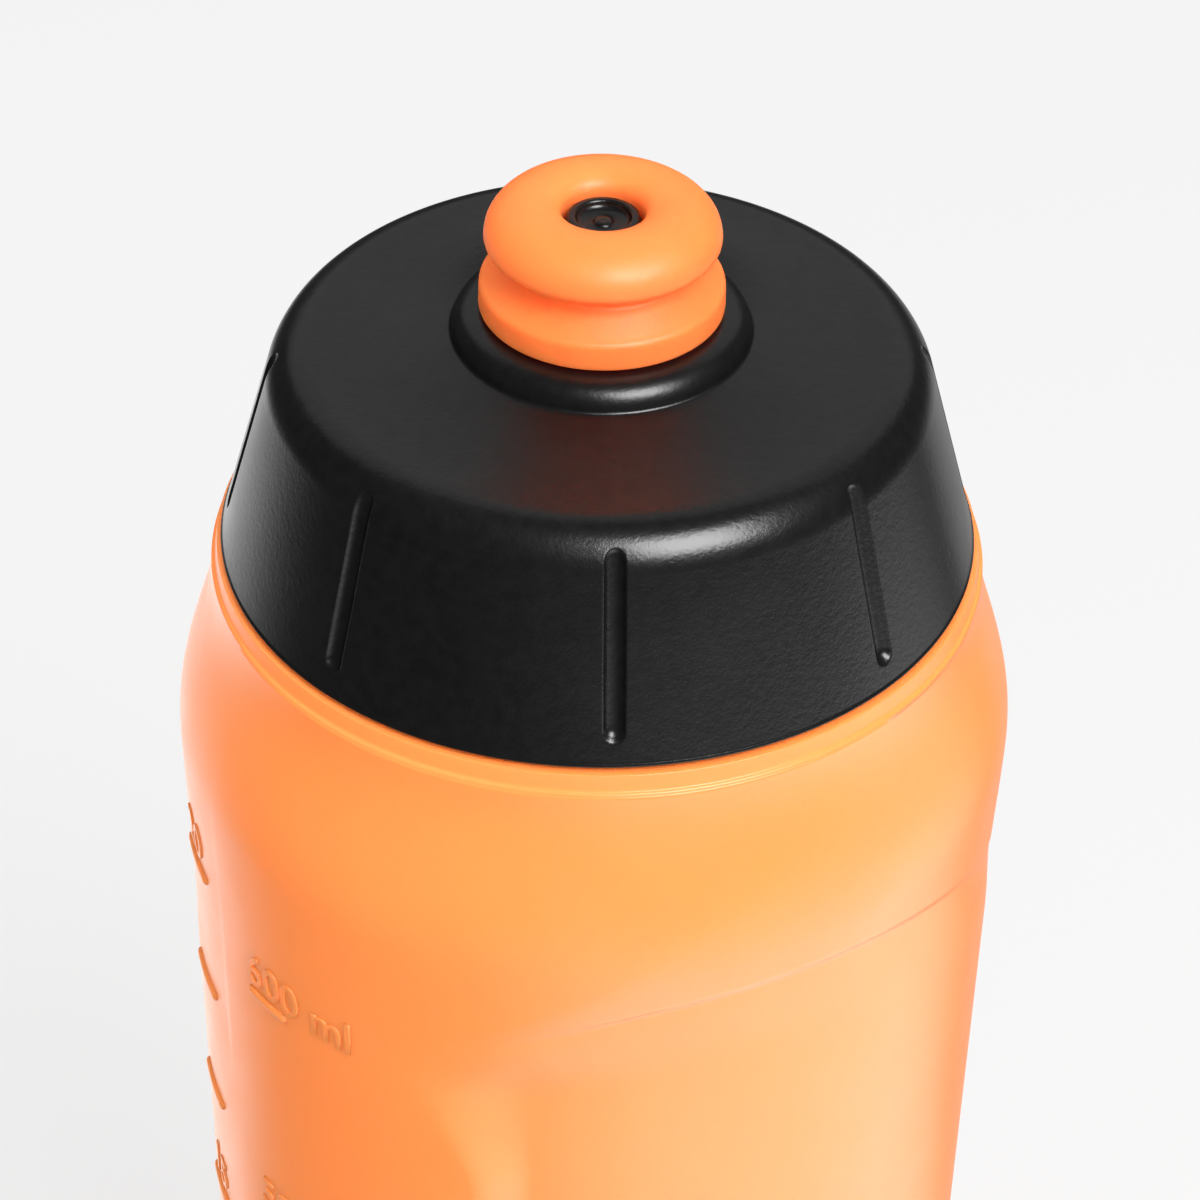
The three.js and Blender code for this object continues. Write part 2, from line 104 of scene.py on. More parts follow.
# Hand grips. Angles are from the grip's middle, and each pair is where a blend starts and ends.
GRIP_AZIMUTH = 28.5
GRIP_TURN = 180.0
CREASE_TOP = LID_Z - 22.2
CREASE_SWEEP = 20.8
CREASE_DEPTH = 0.8
CREASE_STEP = 0.4
STEP_ABOVE, STEP_BELOW = 0.1, 0.7
CREASE_RISES = (-50.0, -18.0)
CREASE_FALLS = (5.0, 75.0)
CREASE_REST = 0.1
FLANK_EDGE = LID_Z - 9.5
FLANK_RISE = 0.4
FLANK_LIMIT = LID_Z - 2
FLANK_POWER = 1.5
PANEL_DEPTH = 1.7
PANEL_BLEND = (0.5, 9.0)
PANEL_SLANT = 0.84
PANEL_CORNER_ANGLE, PANEL_CORNER_Z = -52.5, LID_Z - 34.7
PANEL_LEFT_LIMITS = (-56.0, -44.0)
PANEL_FULL = -36.0
PANEL_FALLS = (-20.0, 62.0)
LOW_SIDE_TOP = 76.0  # the side's rows lie closer together above this, and again above the next
FINE_ROWS_FROM = LID_Z - 42
PANEL_BOTTOM = 86.0
PANEL_BOTTOM_FADE = 14.0

SCALE_SPACING = 14.4
SCALE_TOP = LID_Z - 30.0
SCALE_TICKS = 10
SIDE_TICK_AZIMUTH, SIDE_TICK_LENGTH = -72.3, 7.0
FRONT_TICK_AZIMUTH, FRONT_TICK_LENGTH, FRONT_TICK_DROP = -49.5, 5.6, 5.3
OUNCES_AZIMUTH, OUNCES_SIZE, OUNCES_ABOVE = -76, 5.0, 1.6
MILLILITRES_AZIMUTH, MILLILITRES_SIZE, MILLILITRES_ABOVE = -54, 4.9, 1.1
MILLILITRES_TOP, MILLILITRES_STEP = 600, 50
BAR_RADIUS = 0.48
TEXT_EXTRUDE, TEXT_BEVEL = 0.16, 0.12

LID_SLOPE = math.radians(15.8)
FILLET_RADIUS = 4.84
FILLET_CENTRE = 23.2
CROWN_RADIUS = 3.6
CROWN_ANGLE = 51.0
SKIRT_RELIEF_INNER, SKIRT_RELIEF_CROWN, SKIRT_RELIEF_OUTER = 29.2, 29.6, 30.9
SKIRT_RELIEF_HEIGHT = 4.8
LID_BORE = NECK_RADIUS + THREAD_DEPTH + 0.4
LID_THREAD_TOP = 11.2
LID_CEILING = SEAL_TOP + GAP
GROOVE_COUNT = 8
GROOVE_AZIMUTH = 3.0
GROOVE_RADIUS = 0.95
GROOVE_DEPTH = 0.65
GROOVE_FROM = 2.2
GROOVE_TO = 18.2

FLARE_RADIUS = 23.0
FLARE_RISE = 1.25
BOSS_FOOT = 12.5
BOSS_SHOULDER = (12.1, 22.25)
BOSS_TOP_RADIUS = 10.2
BOSS_RIM = 22.4
WELL_RADIUS = 9.2
WELL_EDGE = 0.25
WELL_FLOOR = SPOUT_BOTTOM - GAP
CORNER = 0.3  # the well's rounded floor
TURRET_RADIUS = 5.7
TURRET_BORE = 4.4
TURRET_TOP = 28.3
BEAD_RADIUS = 6.1
POST_RADIUS = 3.05
POST_FOOT = 25.3
SPOKE_COUNT = 3
SPOKE_WIDTH = 1.6
SPOKE_HEIGHT = 2.0

# Light levels: the floor's own glow, what gloss sees, what matt surfaces get and what the camera sees.
FLOOR_GLOW = 0.62
ROOM_LEVEL = 0.055
FILL_LEVEL = 0.84
BACKDROP_LEVEL = 0.921


# ---- profile and mesh helpers --------------------------------------------------------------------


def smoothstep(x, low, high):
    t = np.clip((x - low) / (high - low), 0, 1)
    return t * t * (3 - 2 * t)


def lerp(a, b, t):
    return a + (b - a) * t


def line(start, end, count):
    """count points from start up to, and without, end."""
    t = np.arange(count)[:, None] / count
    return (1 - t) * np.array(start, float) + t * np.array(end, float)


def arc(centre, radius, start, end, count):
    """count points on an arc from angle start up to, and without, end, in degrees."""
    angle = np.radians(np.linspace(start, end, count + 1)[:-1])
    return np.array(centre, float) + radius * np.stack([np.cos(angle), np.sin(angle)], 1)


def curve(start, control, end, count):
    """count points on a quadratic curve from start up to, and without, end."""
    t = np.arange(count)[:, None] / count
    start, control, end = (np.array(p, float) for p in (start, control, end))
    return (1 - t) ** 2 * start + 2 * t * (1 - t) * control + t * t * end


def circle_points(azimuths, radius, height):
    """Points at these azimuths; radius and height are numbers or arrays as long as azimuths."""
    angle = np.radians(azimuths)
    height = np.broadcast_to(height, angle.shape)
    return np.stack([radius * np.sin(angle), -radius * np.cos(angle), height], -1)


def new_object(name, vertices, faces):
    mesh = bpy.data.meshes.new(name)
    mesh.from_pydata((vertices * MM).tolist(), [], faces)
    mesh.validate()
    mesh.shade_smooth()
    made = bpy.data.objects.new(name, mesh)
    bpy.context.scene.collection.objects.link(made)
    return made


def skin(name, rows, loop):
    """A closed skin through rows of points, which all run once round the axis. With loop, the last row
    joins the first; without it, the first and last rows shrink to a point on the axis."""
    rows = np.array(rows)
    count, columns = rows.shape[:2]
    index = np.arange(count * columns).reshape(count, columns)
    following = np.roll(index, -1, axis=1)
    pairs = [(i, (i + 1) % count) for i in range(count if loop else count - 1)]
    faces = []
    for a, b in pairs:
        quads = np.stack([index[a], following[a], following[b], index[b]], 1)
        faces += quads.tolist()
    vertices = rows.reshape(-1, 3)
    if not loop:
        poles = len(vertices) + np.arange(2)
        ends = [[0, 0, rows[0, 0, 2]], [0, 0, rows[-1, 0, 2]]]
        vertices = np.concatenate([vertices, ends])
        faces += [[poles[0], b, a] for a, b in zip(index[0], following[0])]
        faces += [[poles[1], a, b] for a, b in zip(index[-1], following[-1])]
    return new_object(name, vertices, faces)


def even_azimuths(count):
    return np.arange(count) * 360.0 / count


def revolve(name, profile, columns):
    """A ring of revolution from a closed profile of (radius, height) above the lid's bottom edge."""
    azimuths = even_azimuths(columns)
    rows = [circle_points(azimuths, radius, LID_Z + height) for radius, height in profile]
    return skin(name, rows, loop=True)


def thread_height(azimuths, z, start, turns):
    """How much of a thread's rib stands at each azimuth and height, from 0 to 1."""
    turn = np.mod(azimuths, 360) / 360
    rib = np.zeros_like(turn)
    for lap in range(math.ceil(turns)):
        along = turn + lap
        beside = np.abs(z - (start + along * THREAD_LEAD))
        section = 1 - smoothstep(beside, 0.35, 1.0)
        ends = smoothstep(along, 0, 0.08) * (1 - smoothstep(along, turns - 0.08, turns))
        rib = np.maximum(rib, section * ends)
    return rib


# ---- bottle body ---------------------------------------------------------------------------------


def grip_depth(azimuth, z):
    """How far the grips lie below the round body."""
    angle = np.mod(azimuth - GRIP_AZIMUTH + GRIP_TURN / 2, GRIP_TURN) - GRIP_TURN / 2
    sweep = CREASE_SWEEP * (1 - np.cos(np.radians(angle)))
    crease = CREASE_TOP - sweep
    along = smoothstep(angle, *CREASE_RISES) * lerp(1, CREASE_REST, smoothstep(angle, *CREASE_FALLS))
    flank_edge = np.minimum(FLANK_EDGE + FLANK_RISE * angle, FLANK_LIMIT)
    rise = np.clip((flank_edge - z) / np.maximum(flank_edge - crease, 1), 0, 1)
    undercut = CREASE_STEP * smoothstep(crease - z, -STEP_ABOVE, STEP_BELOW)
    flank = along * (CREASE_DEPTH * rise**FLANK_POWER + undercut)

    left_edge = np.clip(PANEL_CORNER_ANGLE + PANEL_SLANT * (PANEL_CORNER_Z - z), *PANEL_LEFT_LIMITS)
    across = smoothstep(angle, left_edge, PANEL_FULL) * (1 - smoothstep(angle, *PANEL_FALLS))
    bottom = smoothstep(z, PANEL_BOTTOM + sweep, PANEL_BOTTOM + sweep + PANEL_BOTTOM_FADE)
    return lerp(flank, PANEL_DEPTH * across, smoothstep(crease - z, *PANEL_BLEND)) * bottom


def round_radius(z):
    low = SHOULDER_EDGE - SHOULDER_HEIGHT
    bulge = SHOULDER_BULGE * smoothstep(z, low - BULGE_HEIGHT, low)
    return BODY_RADIUS + bulge - SHOULDER_STEP_IN * smoothstep(z, low, SHOULDER_EDGE) ** SHOULDER_POWER


def body_radius(azimuth, z):
    return round_radius(z) - grip_depth(azimuth, z)


def body_rows(azimuths):
    def plain(points):
        return [circle_points(azimuths, radius, z) for radius, z in points]

    def side(heights, inset):
        return [circle_points(azimuths, body_radius(azimuths, z) - inset, z) for z in heights]

    def neck(z):
        rib = thread_height(azimuths, z, LID_Z + THREAD_START, THREAD_TURNS)
        return circle_points(azimuths, NECK_RADIUS + THREAD_DEPTH * rib, z)

    heights = np.concatenate([
        np.linspace(BASE_EDGE_RADIUS, LOW_SIDE_TOP, 36)[:-1],
        np.arange(LOW_SIDE_TOP, FINE_ROWS_FROM, 1.0),
        np.arange(FINE_ROWS_FROM, SHOULDER_EDGE, 0.35),
    ])
    dome = line((2, BASE_DOME_RISE), (REST_RING_INNER - 6, BASE_DOME_RISE), 6)
    dome_edge = curve(
        (REST_RING_INNER - 6, BASE_DOME_RISE), (REST_RING_INNER - 2, BASE_DOME_RISE), (REST_RING_INNER, 0), 8
    )
    rest_ring = line((REST_RING_INNER, 0), (REST_RING_OUTER, 0), 4)
    base_edge = arc((REST_RING_OUTER, BASE_EDGE_RADIUS), BASE_EDGE_RADIUS, -90, 0, 16)
    top_radius = float(round_radius(SHOULDER_EDGE))
    edge_top = (top_radius - SHOULDER_ROUND, SHOULDER_EDGE + SHOULDER_ROUND)
    shoulder_edge = curve((top_radius, SHOULDER_EDGE), (top_radius, edge_top[1] - 0.05), edge_top, 10)
    low_wall = line(edge_top, (RIM_RADIUS, SHOULDER_TOP - 0.1), 6)
    rim_edge = curve(
        (RIM_RADIUS, SHOULDER_TOP - 0.1), (RIM_RADIUS, SHOULDER_TOP), (RIM_RADIUS - 0.1, SHOULDER_TOP), 3
    )
    top = line((RIM_RADIUS - 0.1, SHOULDER_TOP), (NECK_RADIUS + 1, SHOULDER_TOP), 5)
    neck_foot = arc((NECK_RADIUS + 1, SHOULDER_TOP + 1), 1, -90, -180, 6)
    neck_heights = np.arange(SHOULDER_TOP + 1, NECK_TOP - 0.4, 0.15)
    rim = arc(((NECK_RADIUS + NECK_BORE) / 2, NECK_TOP - 0.6), 0.65, 0, 180, 12)
    rim[:, 1] = np.minimum(rim[:, 1], NECK_TOP)
    bore = line((NECK_BORE, NECK_TOP - 0.6), (NECK_BORE, SHOULDER_TOP - 0.8), 12)
    bore_foot = line((NECK_BORE, SHOULDER_TOP - 0.8), (NECK_BORE + 0.8, SHOULDER_TOP - BODY_WALL - 0.4), 2)
    inner_heights = heights[(heights > 10) & (heights < SHOULDER_EDGE - 1)][::-1]
    floor = [
        (REST_RING_OUTER + 4, BODY_WALL + 3.2),
        (REST_RING_OUTER + 2, BODY_WALL + 0.9),
        (REST_RING_OUTER - 1, BODY_WALL),
        (REST_RING_INNER + 1, BODY_WALL),
        (REST_RING_INNER - 2, BODY_WALL + 2.2),
        (REST_RING_INNER - 6, BASE_DOME_RISE + BODY_WALL),
        (2, BASE_DOME_RISE + BODY_WALL),
    ]
    rows = plain(dome) + plain(dome_edge) + plain(rest_ring) + plain(base_edge) + side(heights, 0)
    rows += plain(shoulder_edge) + plain(low_wall) + plain(rim_edge) + plain(top) + plain(neck_foot)
    rows += [neck(z) for z in neck_heights]
    rows += plain(rim) + plain(bore) + plain(bore_foot) + side(inner_heights, BODY_WALL) + plain(floor)
    return rows


def build_body():
    azimuths = even_azimuths(480)
    return skin("body_shell", body_rows(azimuths), loop=False)


def wrap_on_body(made, azimuth, z, proud):
    """Bends a flat object, drawn in its XY plane with its depth along Z, round the body."""
    for vertex in made.data.vertices:
        across, up, out = vertex.co / MM
        height = z + up
        radius = float(body_radius(azimuth, height))
        angle = azimuth + math.degrees(across / radius)
        radius = float(body_radius(angle, height)) + proud + out
        vertex.co = Vector(circle_points(np.array([angle]), radius, height)[0]) * MM
    made.data.update()


def raised_text(name, words, size, azimuth, z):
    text = bpy.data.curves.new(name, "FONT")
    text.body = words
    text.size = size * MM
    text.extrude = TEXT_EXTRUDE * MM
    text.bevel_depth = TEXT_BEVEL * MM
    text.bevel_resolution = 2
    text.resolution_u = 8
    text.offset = -0.04 * MM
    source = bpy.data.objects.new(name + "_source", text)
    bpy.context.scene.collection.objects.link(source)
    bpy.context.view_layer.update()
    mesh = bpy.data.meshes.new_from_object(source)
    bpy.data.objects.remove(source)
    made = bpy.data.objects.new(name, mesh)
    bpy.context.scene.collection.objects.link(made)
    wrap_on_body(made, azimuth, z, -0.1)
    mesh.shade_smooth()
    return made


def raised_bar(name, length, azimuth, z):
    """A round-ended raised bar along the body, its middle at this azimuth and height."""
    steps, sides, radius = 24, 12, BAR_RADIUS
    angle = np.linspace(0, 2 * math.pi, sides, endpoint=False)
    rows = []
    for step in range(steps + 1):
        t = step / steps
        across = (t - 0.5) * length
        near_end = max(0.0, abs(across) - (length / 2 - radius))
        round_off = math.sqrt(max(radius**2 - near_end**2, 0.02**2))
        rows += [(across, round_off * math.cos(a), 0.8 * round_off * math.sin(a)) for a in angle]
    vertices = np.array(rows)
    index = np.arange((steps + 1) * sides).reshape(-1, sides)
    following = np.roll(index, -1, axis=1)
    faces = [[a, b, c, d] for i in range(steps) for a, b, c, d in
             zip(index[i], following[i], following[i + 1], index[i + 1])]
    faces += [index[0][::-1].tolist(), index[-1].tolist()]
    made = new_object(name, vertices, faces)
    wrap_on_body(made, azimuth, z, -0.03)
    return made


# ---- lid -----------------------------------------------------------------------------------------


def lid_outer(height):
    return LID_RADIUS - height * math.tan(LID_SLOPE)


def groove_azimuths():
    return GROOVE_AZIMUTH + np.arange(GROOVE_COUNT) * 360.0 / GROOVE_COUNT


def lid_azimuths():
    """Columns set close together at the grooves and wider between them."""
    pitch = 360.0 / GROOVE_COUNT
    near = np.linspace(-3, 3, 37)
    between = np.linspace(3, pitch - 3, 26)[1:-1]
    return np.concatenate([np.concatenate([near, between]) + start for start in groove_azimuths()])


def groove_depth(azimuths, radius, height):
    """Depth of the finger grooves in the lid's side, with softened edges."""
    pitch = 360.0 / GROOVE_COUNT
    apart = np.mod(azimuths - GROOVE_AZIMUTH + pitch / 2, pitch) - pitch / 2
    across = np.radians(apart) * radius
    half = (GROOVE_TO - GROOVE_FROM) / 2 - GROOVE_RADIUS
    beyond = max(0.0, abs(height - (GROOVE_FROM + GROOVE_TO) / 2) - half)
    distance = np.hypot(across, beyond)
    inside = np.sqrt(np.maximum(GROOVE_RADIUS**2 - distance**2, 0))
    depth = inside - (GROOVE_RADIUS - GROOVE_DEPTH) - (lid_outer(height) - radius)
    soft = 0.08
    return (depth + np.sqrt(depth**2 + soft**2)) / 2 * smoothstep(-distance, -1.3, -0.7)


def top_edge():
    """Centres of the fillet, tangent to the sloping side, and of the tighter crown above it."""
    reach = LID_RADIUS - FILLET_CENTRE - FILLET_RADIUS * math.cos(LID_SLOPE)
    height = reach / math.tan(LID_SLOPE) - FILLET_RADIUS * math.sin(LID_SLOPE)
    between = FILLET_RADIUS - CROWN_RADIUS
    angle = math.radians(CROWN_ANGLE)
    crown = (FILLET_CENTRE + between * math.cos(angle), height + between * math.sin(angle))
    return (FILLET_CENTRE, height), crown


def lid_rows(azimuths):
    fillet, crown = top_edge()
    top = crown[1] + CROWN_RADIUS
    slope = math.degrees(LID_SLOPE)
    side_top = fillet[1] + FILLET_RADIUS * math.sin(LID_SLOPE)
    flare = (BOSS_FOOT, top + FLARE_RISE)
    flare_end = (BOSS_FOOT + 0.2, flare[1] - 0.06)
    boss_start = (BOSS_FOOT - 0.05, flare[1] + 0.2)
    well_top = (WELL_RADIUS + WELL_EDGE, BOSS_RIM)
    well_wall = (WELL_RADIUS, BOSS_RIM - WELL_EDGE)
    bead_foot = (TURRET_RADIUS, TURRET_TOP - 1.3)
    bead_top = (BEAD_RADIUS, TURRET_TOP - 0.8)
    rows = []

    def add(points, grooved=False):
        for radius, height in points:
            depth = groove_depth(azimuths, radius, height) if grooved else 0
            rows.append(circle_points(azimuths, radius - depth, LID_Z + height))

    relief = SKIRT_RELIEF_HEIGHT
    add(line((LID_BORE, 0), (SKIRT_RELIEF_INNER, 0), 2))
    add(line((SKIRT_RELIEF_INNER, 0), (SKIRT_RELIEF_INNER, relief), 4))
    add(line((SKIRT_RELIEF_INNER, relief), (SKIRT_RELIEF_CROWN, relief), 1))
    add(line((SKIRT_RELIEF_CROWN, relief), (SKIRT_RELIEF_OUTER, 0), 4))
    add(line((SKIRT_RELIEF_OUTER, 0), (LID_RADIUS - 0.35, 0), 3))
    add(arc((LID_RADIUS - 0.35, 0.35), 0.35, -90, slope, 6))
    add(line((lid_outer(0.45), 0.45), (lid_outer(side_top), side_top), 100), grooved=True)
    add(arc(fillet, FILLET_RADIUS, slope, CROWN_ANGLE, 26), grooved=True)
    add(arc(crown, CROWN_RADIUS, CROWN_ANGLE, 90, 22))
    add(line((crown[0], top), (FLARE_RADIUS, top), 4))
    add(curve((FLARE_RADIUS, top), ((FLARE_RADIUS + BOSS_FOOT) / 2, top), flare_end, 24))
    add(curve(flare_end, flare, boss_start, 6))
    add(curve(boss_start, BOSS_SHOULDER, (BOSS_TOP_RADIUS, BOSS_RIM), 24))
    add(line((BOSS_TOP_RADIUS, BOSS_RIM), well_top, 3))
    add(curve(well_top, (WELL_RADIUS, BOSS_RIM), well_wall, 5))
    well_foot = (WELL_RADIUS, WELL_FLOOR + CORNER)
    turret_foot = (TURRET_RADIUS, WELL_FLOOR + CORNER)
    add(line(well_wall, well_foot, 4))
    add(curve(well_foot, (WELL_RADIUS, WELL_FLOOR), (WELL_RADIUS - CORNER, WELL_FLOOR), 4))
    add(line((WELL_RADIUS - CORNER, WELL_FLOOR), (TURRET_RADIUS + CORNER, WELL_FLOOR), 4))
    add(curve((TURRET_RADIUS + CORNER, WELL_FLOOR), (TURRET_RADIUS, WELL_FLOOR), turret_foot, 4))
    add(line(turret_foot, bead_foot, 8))
    add(curve(bead_foot, (BEAD_RADIUS, TURRET_TOP - 1.1), bead_top, 5))
    add(curve(bead_top, (BEAD_RADIUS, TURRET_TOP - 0.3), (TURRET_RADIUS - 0.2, TURRET_TOP), 6))
    add(line((TURRET_RADIUS - 0.2, TURRET_TOP), (TURRET_BORE + 0.2, TURRET_TOP), 3))
    add(line((TURRET_BORE + 0.2, TURRET_TOP), (TURRET_BORE, TURRET_TOP - 0.2), 1))
    add(line((TURRET_BORE, TURRET_TOP - 0.2), (TURRET_BORE, LID_CEILING + 0.3), 6))
    add(line((TURRET_BORE, LID_CEILING + 0.3), (TURRET_BORE + 0.3, LID_CEILING), 1))
    add(line((TURRET_BORE + 0.3, LID_CEILING), (SEAL_OUTER - 0.8, LID_CEILING), 10))
    seal_seat = (SEAL_OUTER + 0.4, LID_CEILING - 1.2)
    add(curve((SEAL_OUTER - 0.8, LID_CEILING), (SEAL_OUTER + 0.3, LID_CEILING), seal_seat, 6))
    add(line(seal_seat, (NECK_RADIUS + 0.4, LID_CEILING - 2), 2))
    add(line((NECK_RADIUS + 0.4, LID_CEILING - 2), (LID_BORE, LID_THREAD_TOP), 8))
    for height in np.arange(LID_THREAD_TOP, 0.1, -0.15):
        rib = thread_height(azimuths, height, LID_THREAD_START, THREAD_TURNS)
        rows.append(circle_points(azimuths, LID_BORE - THREAD_DEPTH * rib, LID_Z + height))
    return rows


def build_lid():
    return skin("lid_shell", lid_rows(lid_azimuths()), loop=True)


def build_post():
    """The closing post with its dished tip and gate mark."""
    tip = POST_TOP
    profile = np.concatenate([
        line((0.6, POST_FOOT), (POST_RADIUS, POST_FOOT), 2),
        line((POST_RADIUS, POST_FOOT), (POST_RADIUS, tip - 0.45), 6),
        arc((POST_RADIUS - 0.4, tip - 0.4), 0.4, 0, 90, 8),
        arc((POST_RADIUS - 0.55, tip - 0.25), 0.25, 90, 180, 6),
        curve((POST_RADIUS - 0.8, tip - 0.25), (POST_RADIUS - 0.9, tip - 0.8), (1.2, tip - 0.75), 8),
        line((1.2, tip - 0.75), (0.95, tip - 0.72), 2),
        curve((0.95, tip - 0.72), (0.75, tip - 0.68), (0.7, tip - 0.5), 4),
        [(0.55, tip - 0.42), (0.2, tip - 0.5)],
    ])
    azimuths = even_azimuths(96)
    rows = [circle_points(azimuths, radius, LID_Z + height) for radius, height in profile]
    return skin("closing_post", rows, loop=False)


def build_spokes():
    """Three webs between the flow windows."""
    vertices, faces = [], []
    for spoke in range(SPOKE_COUNT):
        turn = Matrix.Rotation(2 * math.pi * spoke / SPOKE_COUNT, 3, "Z")
        start = len(vertices)
        for z in (POST_FOOT, POST_FOOT + SPOKE_HEIGHT):
            for x, y in ((-0.5, -2), (0.5, -2), (0.5, -5.2), (-0.5, -5.2)):
                corner = Vector((x * SPOKE_WIDTH, y, LID_Z + z))
                vertices.append(turn @ corner)
        quads = ((0, 1, 2, 3), (7, 6, 5, 4), (0, 4, 5, 1), (1, 5, 6, 2), (2, 6, 7, 3), (3, 7, 4, 0))
        faces += [[start + corner for corner in quad] for quad in quads]
    made = new_object("turret_webs", np.array([tuple(v) for v in vertices]), faces)
    bevel = made.modifiers.new("edges", "BEVEL")
    bevel.width = 0.15 * MM
    bevel.segments = 2
    return made


# ---- seal ring and spout -------------------------------------------------------------------------


def build_seal():
    inner = 23.6
    profile = np.concatenate([
        curve((inner, SEAL_BOTTOM + 0.3), (inner, SEAL_BOTTOM), (inner + 0.3, SEAL_BOTTOM), 4),
        line((inner + 0.3, SEAL_BOTTOM), (SEAL_OUTER - 0.3, SEAL_BOTTOM), 4),
        curve((SEAL_OUTER - 0.3, SEAL_BOTTOM), (SEAL_OUTER, SEAL_BOTTOM), (SEAL_OUTER, SEAL_BOTTOM + 0.3), 4),
        line((SEAL_OUTER, SEAL_BOTTOM + 0.3), (SEAL_OUTER, SEAL_TOP - 1), 3),
        line((SEAL_OUTER, SEAL_TOP - 1), (SEAL_OUTER - 0.6, SEAL_TOP), 3),
        line((SEAL_OUTER - 0.6, SEAL_TOP), (inner + 0.3, SEAL_TOP), 4),
        curve((inner + 0.3, SEAL_TOP), (inner, SEAL_TOP), (inner, SEAL_TOP - 0.3), 4),
        line((inner, SEAL_TOP - 0.3), (inner, SEAL_BOTTOM + 0.3), 3),
    ])
    return revolve("neck_seal", profile, 240)


def spout_profile():
    lip = TURRET_RADIUS + 0.35
    bore = BEAD_RADIUS + GAP
    skirt, flange = 8.4, SPOUT_RADIUS
    bottom, underside, shelf = SPOUT_BOTTOM, BOSS_RIM + GAP, 24.65
    waist, waist_height = 7.3, 27.05
    waist_top = (waist + 0.4, waist_height + 0.35)
    disc, disc_underside, middle = 9.7, 28.5, 29.3
    hole = 3.4
    top = SPOUT_TOP
    return np.concatenate([
        line((lip, bottom), (skirt - 0.2, bottom), 4),
        line((skirt - 0.2, bottom), (skirt, bottom + 0.2), 1),
        line((skirt, bottom + 0.2), (skirt, underside), 4),
        line((skirt, underside), (flange - 0.3, underside), 3),
        curve((flange - 0.3, underside), (flange, underside), (flange, underside + 0.35), 6),
        line((flange, underside + 0.35), (flange - 0.05, shelf), 6),
        curve((flange - 0.05, shelf), (flange - 0.1, shelf + 0.45), (flange - 0.45, shelf + 0.6), 6),
        line((flange - 0.45, shelf + 0.6), (waist + 0.5, waist_height - 0.35), 8),
        curve((waist + 0.5, waist_height - 0.35), (waist - 0.1, waist_height), waist_top, 10),
        line(waist_top, (disc - 0.55, disc_underside - 0.05), 6),
        curve((disc - 0.55, disc_underside - 0.05), (disc, disc_underside + 0.25), (disc, middle), 12),
        curve((disc, middle), (disc - 0.1, top - 1.1), (7.0, top - 0.25), 18),
        curve((7.0, top - 0.25), (5.6, top + 0.12), (4.5, top - 0.3), 12),
        curve((4.5, top - 0.3), (hole, top - 0.7), (hole, top - 1.6), 12),
        line((hole, top - 1.6), (hole, TURRET_TOP + 1.2), 5),
        line((hole, TURRET_TOP + 1.2), (bore - 1.6, TURRET_TOP + 0.8), 3),
        line((bore - 1.6, TURRET_TOP + 0.8), (bore, TURRET_TOP - 0.1), 3),
        line((bore, TURRET_TOP - 0.1), (bore, bottom + 1.2), 8),
        line((bore, bottom + 1.2), (lip, bottom + 0.8), 2),
        line((lip, bottom + 0.8), (lip, bottom), 2),
    ])


def build_spout():
    return revolve("spout_moulding", spout_profile(), 256)


# ---- materials -----------------------------------------------------------------------------------


def new_material(name):
    """A node material with its Principled shader and a helper that adds linked nodes."""
    material = bpy.data.materials.new(name)
    material.use_nodes = True
    tree = material.node_tree
    shader = tree.nodes["Principled BSDF"]
    return material, tree, shader


def noise(tree, scale, detail=2.0, roughness=0.5):
    place = tree.nodes.new("ShaderNodeTexCoord")
    texture = tree.nodes.new("ShaderNodeTexNoise")
    texture.inputs["Scale"].default_value = scale
    texture.inputs["Detail"].default_value = detail
    texture.inputs["Roughness"].default_value = roughness
    tree.links.new(place.outputs["Object"], texture.inputs["Vector"])
    return texture.outputs["Fac"]


def remap(tree, value, low, high, from_low=0.3, from_high=0.7):
    node = tree.nodes.new("ShaderNodeMapRange")
    node.inputs["From Min"].default_value = from_low
    node.inputs["From Max"].default_value = from_high
    node.inputs["To Min"].default_value = low
    node.inputs["To Max"].default_value = high
    tree.links.new(value, node.inputs["Value"])
    return node.outputs["Result"]


def blend_colours(tree, value, dark, light):
    ramp = tree.nodes.new("ShaderNodeValToRGB")
    ramp.color_ramp.elements[0].position = 0.3
    ramp.color_ramp.elements[1].position = 0.7
    ramp.color_ramp.elements[0].color = (*dark, 1)
    ramp.color_ramp.elements[1].color = (*light, 1)
    tree.links.new(value, ramp.inputs["Fac"])
    return ramp.outputs["Color"]


def bump(tree, height, distance, strength, normal=None):
    node = tree.nodes.new("ShaderNodeBump")
    node.inputs["Distance"].default_value = distance * MM
    node.inputs["Strength"].default_value = strength
    tree.links.new(height, node.inputs["Height"])
    if normal is not None:
        tree.links.new(normal, node.inputs["Normal"])
    return node.outputs["Normal"]


def body_material():
    """Milky, translucent soft polyethylene with a satin skin."""
    material, tree, shader = new_material("body_polyethylene")
    clouds = noise(tree, 22, 3)
    colour = blend_colours(tree, clouds, (1.0, 0.25, 0.055), (1.0, 0.275, 0.062))
    tree.links.new(colour, shader.inputs["Base Color"])
    shader.subsurface_method = "BURLEY"
    shader.inputs["Subsurface Weight"].default_value = 0.6
    shader.inputs["Subsurface Radius"].default_value = (1.0, 0.4, 0.2)
    shader.inputs["Subsurface Scale"].default_value = 3.0 * MM
    shader.inputs["IOR"].default_value = 1.5
    tree.links.new(remap(tree, noise(tree, 160, 4), 0.29, 0.36), shader.inputs["Roughness"])
    tree.links.new(bump(tree, noise(tree, 45, 1), 0.05, 0.3), shader.inputs["Normal"])
    return material


